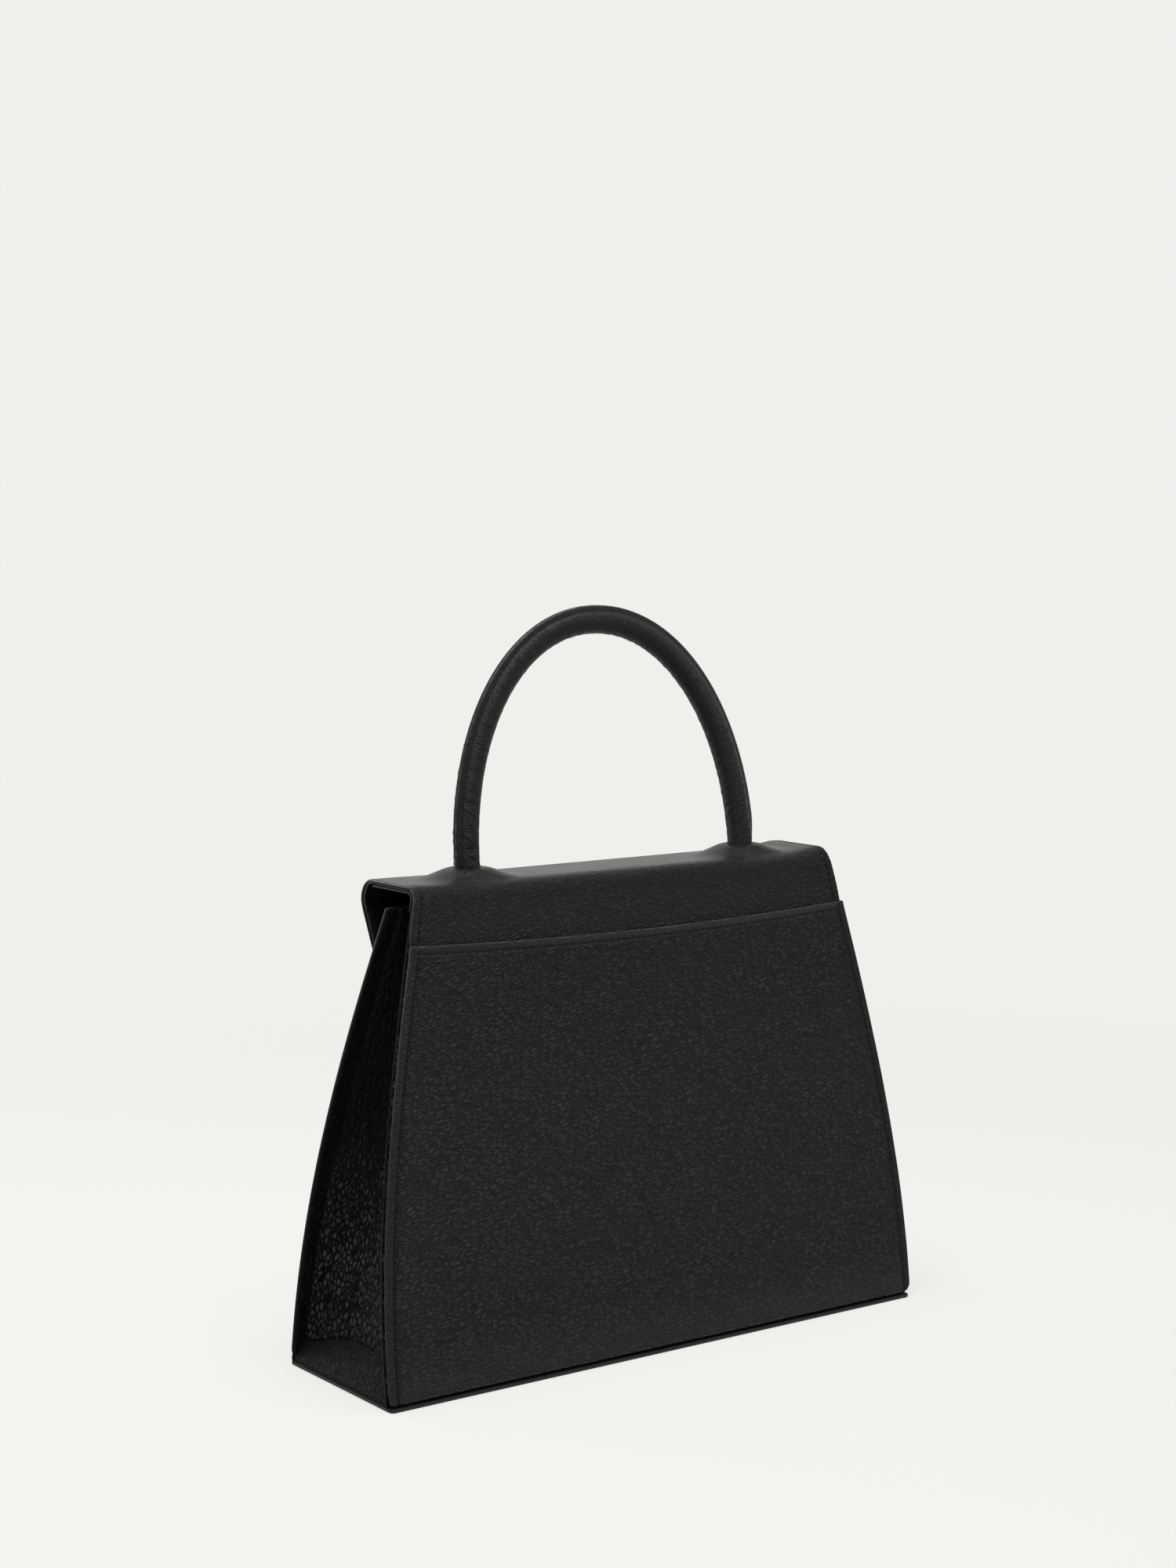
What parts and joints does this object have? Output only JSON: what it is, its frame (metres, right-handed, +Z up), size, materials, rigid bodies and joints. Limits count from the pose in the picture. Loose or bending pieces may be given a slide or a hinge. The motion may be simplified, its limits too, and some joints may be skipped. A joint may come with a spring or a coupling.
{
  "type": "top handle bag",
  "caption": "Structured black leather top handle bag: flared laminated walls, folding side gussets, outer slip pocket, crown with rolled handle, and a front flap that continues from it.",
  "frame": {"origin": "middle of the base, on the surface that the bag stands on", "axes": "+X along the bag's width, +Y towards the side with the slip pocket, the flap at -Y, +Z up"},
  "size_m": [0.3208, 0.0934, 0.3673],
  "materials": {
    "grained_leather": "satin black pebbled leather with painted edges",
    "gusset_leather": "supple satin black pebbled leather",
    "base_leather": "firm black leather",
    "handle_leather": "satin black leather, rolled and stitched",
    "trim_leather": "smooth black leather",
    "lining_cloth": "matt dark woven cloth",
    "stiff_board": "pressed fibre board",
    "handle_tube": "flexible tube",
    "steel": "plated steel"
  },
  "bodies": {
    "bag_body": {"rear_panel": "grained_leather", "pocket_panel": "grained_leather", "rear_board": "stiff_board", "rear_lining": "lining_cloth", "rear_facing": "trim_leather", "inner_pocket": "lining_cloth", "rear_fold": "grained_leather", "gusset_left": "gusset_leather", "gusset_right": "gusset_leather", "gusset_lining_left": "lining_cloth", "gusset_lining_right": "lining_cloth", "base_panel": "base_leather", "base_board": "stiff_board", "base_lining": "lining_cloth"},
    "front": {"front_panel": "grained_leather", "front_board": "stiff_board", "front_lining": "lining_cloth", "front_facing": "trim_leather", "front_magnet": "steel"},
    "crown": {"crown_panel": "grained_leather", "crown_board": "stiff_board", "crown_lining": "trim_leather", "handle_cover": "handle_leather", "handle_core": "handle_tube", "handle_anchors": "steel", "front_fold": "grained_leather"},
    "flap": {"flap_panel": "grained_leather", "flap_board": "stiff_board", "flap_lining": "trim_leather", "flap_magnet": "steel"}
  },
  "joints": [
    {"name": "crown_fold", "type": "hinge", "parent": "bag_body", "child": "crown", "pos_m": [0, 0.0167, 0.236], "axis": [-1, 0, 0], "range_deg": [0, 120], "deforming": ["rear_fold"]},
    {"name": "flap_fold", "type": "hinge", "parent": "crown", "child": "flap", "pos_m": [0, -0.0292, 0.2324], "axis": [-1, 0, 0], "range_deg": [0, 120], "deforming": ["front_fold"]},
    {"name": "front_lean", "type": "hinge", "parent": "bag_body", "child": "front", "pos_m": [0, -0.0452, 0.0032], "axis": [1, 0, 0], "range_deg": [0, 10]}
  ],
  "couplings": [
    {"joint": "front_lean", "follows": "flap_fold", "ratio": 0.083333}
  ]
}
